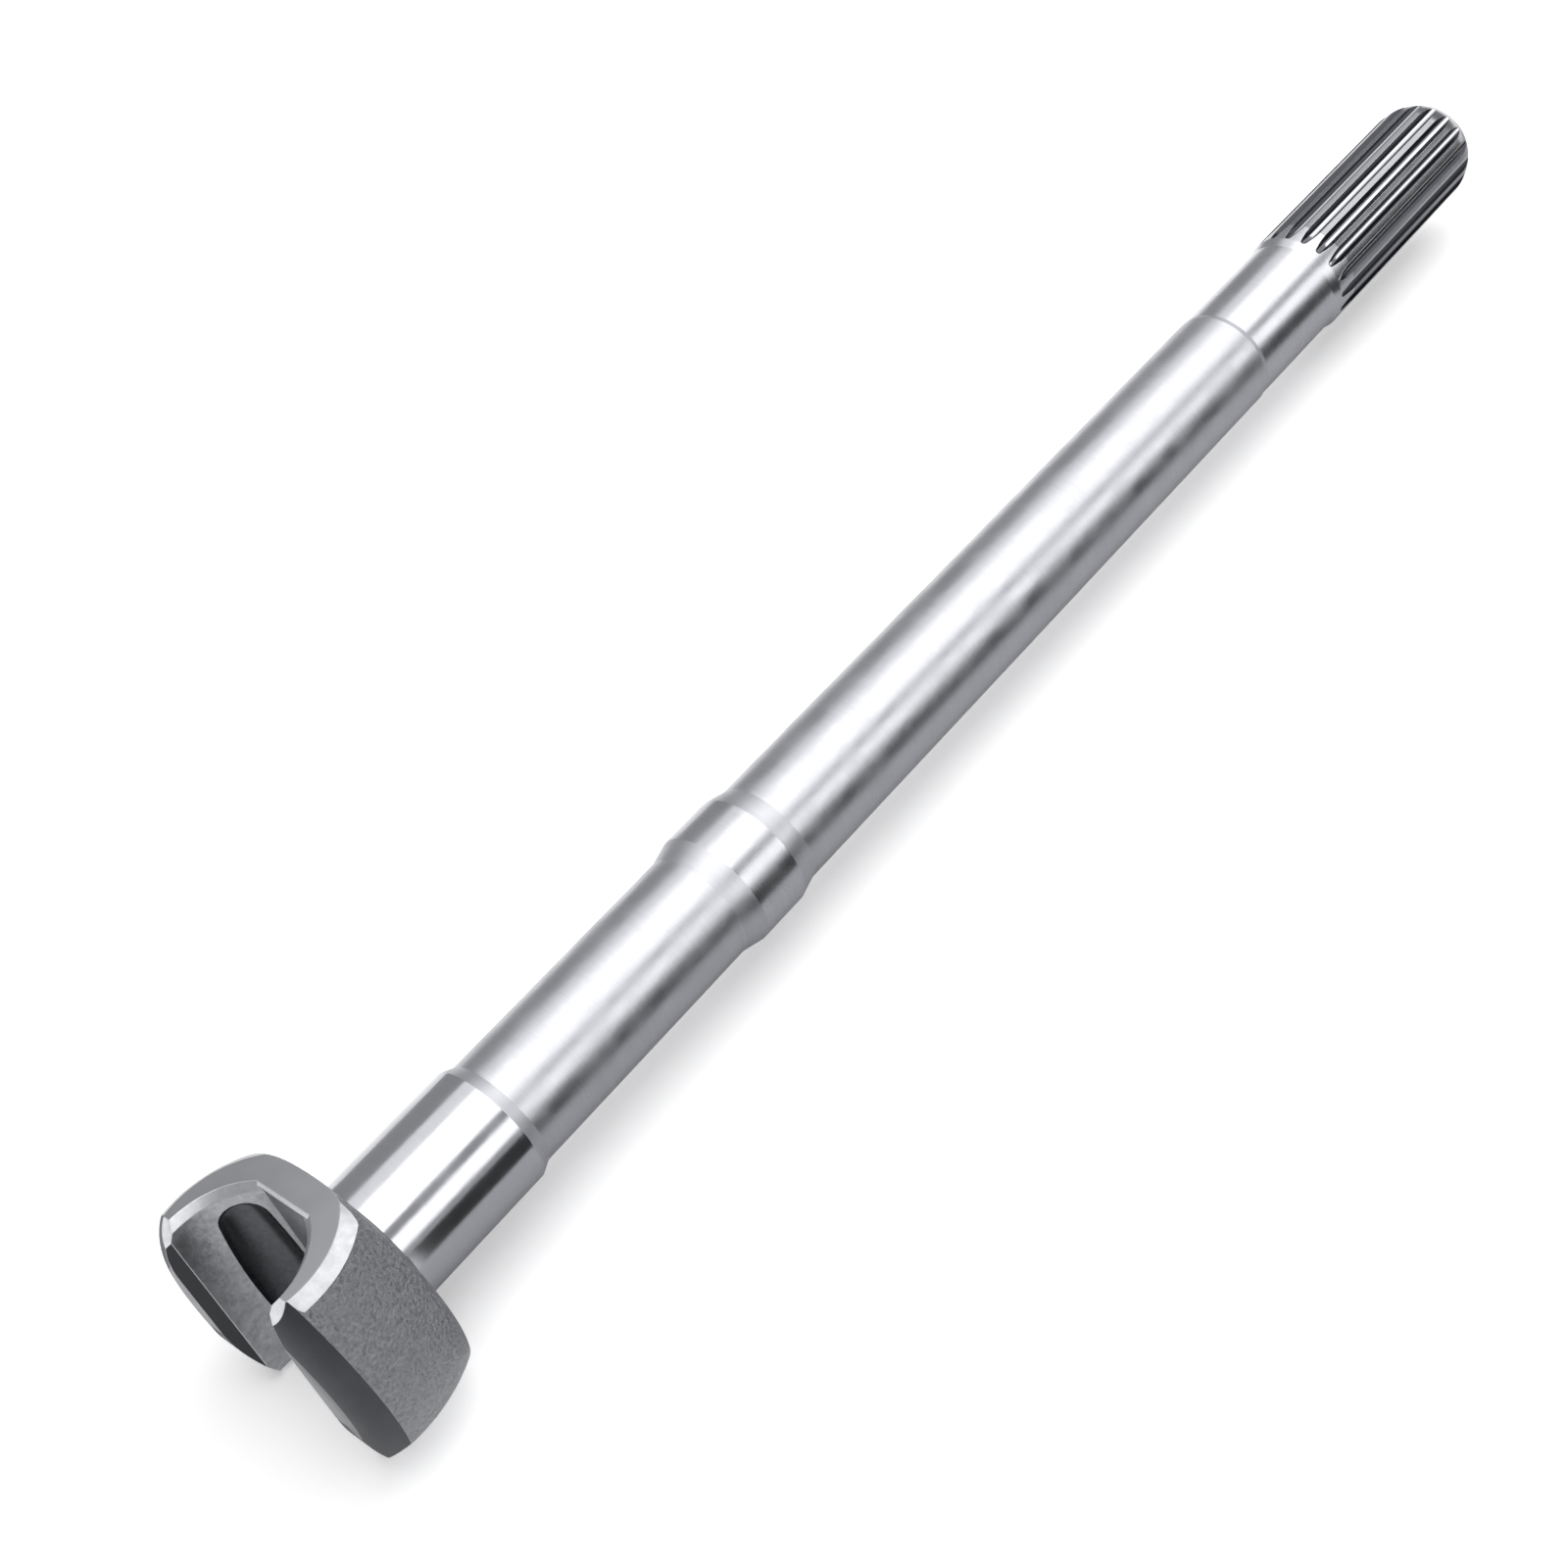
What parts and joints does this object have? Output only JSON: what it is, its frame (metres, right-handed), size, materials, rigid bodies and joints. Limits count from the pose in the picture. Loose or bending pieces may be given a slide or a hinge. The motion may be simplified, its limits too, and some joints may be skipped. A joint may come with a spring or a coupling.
{
  "type": "axle shaft",
  "caption": "One-piece forged and ground axle shaft with an open C-shaped jaw head at one end, stepped journals and a rounded external spline at the other end.",
  "frame": {"origin": "where the axis of the cross bore in the jaw head crosses the axis of the shaft", "axes": "+X along the shaft from the jaw head towards the spline end, +Z along the axis of the cross bore towards the flat with the narrower bevel, +Y across the jaws; the part is the same on both sides of XZ"},
  "size_m": [0.8155, 0.1256, 0.094],
  "materials": {
    "steel": "ground and polished journals and spline, milled head flats and jaw ends, shot-blasted forging skin on the outside of the head"
  },
  "bodies": {
    "root": {"axle_shaft": "steel"}
  },
  "joints": []
}
